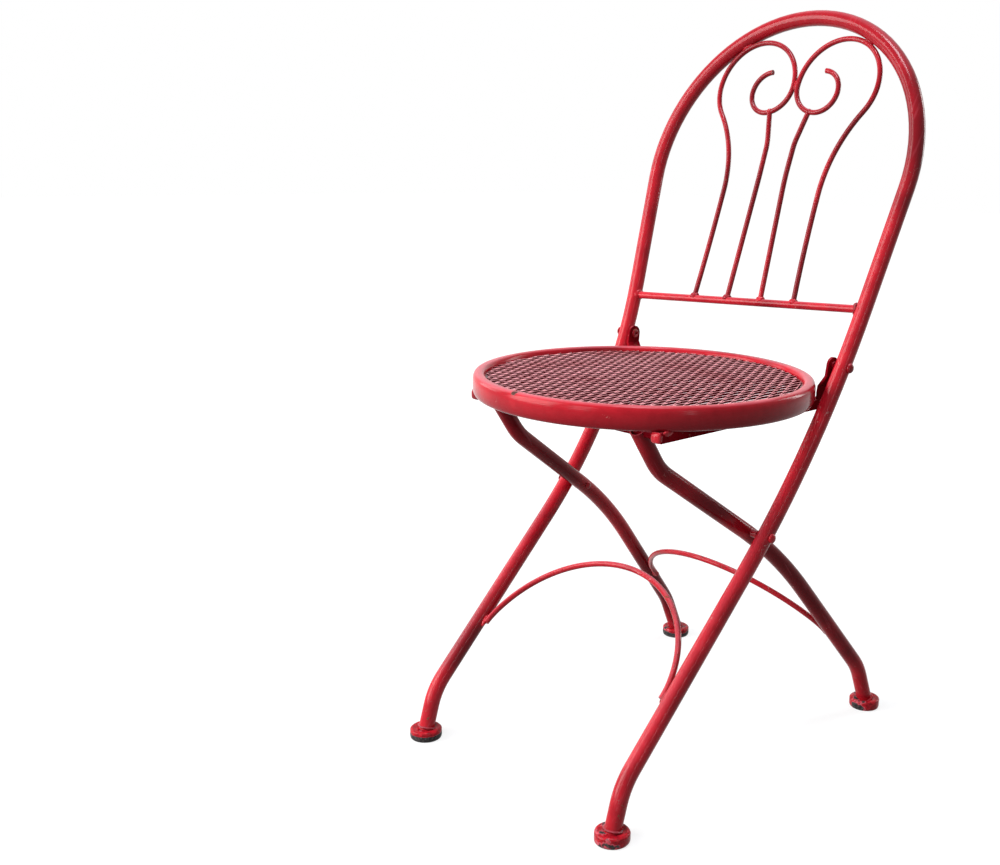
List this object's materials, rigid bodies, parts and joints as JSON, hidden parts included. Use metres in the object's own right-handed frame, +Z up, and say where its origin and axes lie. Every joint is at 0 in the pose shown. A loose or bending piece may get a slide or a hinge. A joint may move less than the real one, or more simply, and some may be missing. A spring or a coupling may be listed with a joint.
{
  "type": "folding chair",
  "caption": "Folding steel chair with a round mesh seat, a round tube hoop back filled with scroll work, and crossed tube legs tied by arched rods.",
  "frame": {"origin": "centre of the bounding box on the floor, under the feet", "axes": "+Z up, the sitter faces -Y, +X is on the sitter's left"},
  "size_m": [0.4054, 0.5229, 0.8744],
  "materials": {
    "frame_paint": "glossy",
    "mesh_paint": "glossy",
    "rivet_paint": "glossy",
    "foot_cap": "worn"
  },
  "bodies": {
    "back_frame": {"back_cross_rail": "frame_paint", "back_hoop_tube": "frame_paint", "cross_rivet_left": "rivet_paint", "cross_rivet_right": "rivet_paint", "cross_spacer_left": "rivet_paint", "cross_spacer_right": "rivet_paint", "front_arch": "frame_paint", "front_foot_cap_left": "foot_cap", "front_foot_cap_right": "foot_cap", "front_foot_flange_left": "frame_paint", "front_foot_flange_right": "frame_paint", "hinge_rivet_left": "rivet_paint", "hinge_rivet_right": "rivet_paint", "hinge_spacer_left": "rivet_paint", "hinge_spacer_right": "rivet_paint", "inner_rod_left": "frame_paint", "inner_rod_right": "frame_paint", "scroll_left": "frame_paint", "scroll_right": "frame_paint"},
    "rear_legs": {"rear_arch": "frame_paint", "rear_foot_cap_left": "foot_cap", "rear_foot_cap_right": "foot_cap", "rear_foot_flange_left": "frame_paint", "rear_foot_flange_right": "frame_paint", "rear_leg_left": "frame_paint", "rear_leg_right": "frame_paint", "slide_rod": "frame_paint"},
    "seat": {"seat_bracket_left": "frame_paint", "seat_bracket_right": "frame_paint", "seat_mesh": "mesh_paint", "seat_rail_left": "frame_paint", "seat_rail_right": "frame_paint", "seat_ring": "frame_paint"}
  },
  "joints": [
    {"name": "seat_fold", "type": "hinge", "parent": "back_frame", "child": "seat", "pos_m": [0, 0.10854, 0.463], "axis": [-1, 0, 0], "range_deg": [0, 97]},
    {"name": "rear_leg_fold", "type": "hinge", "parent": "back_frame", "child": "rear_legs", "pos_m": [0, -0.00762, 0.2815], "axis": [-1, 0, 0], "range_deg": [0, 68.7]}
  ],
  "couplings": [
    {"joint": "rear_leg_fold", "follows": "seat_fold", "ratio": 0.708}
  ]
}
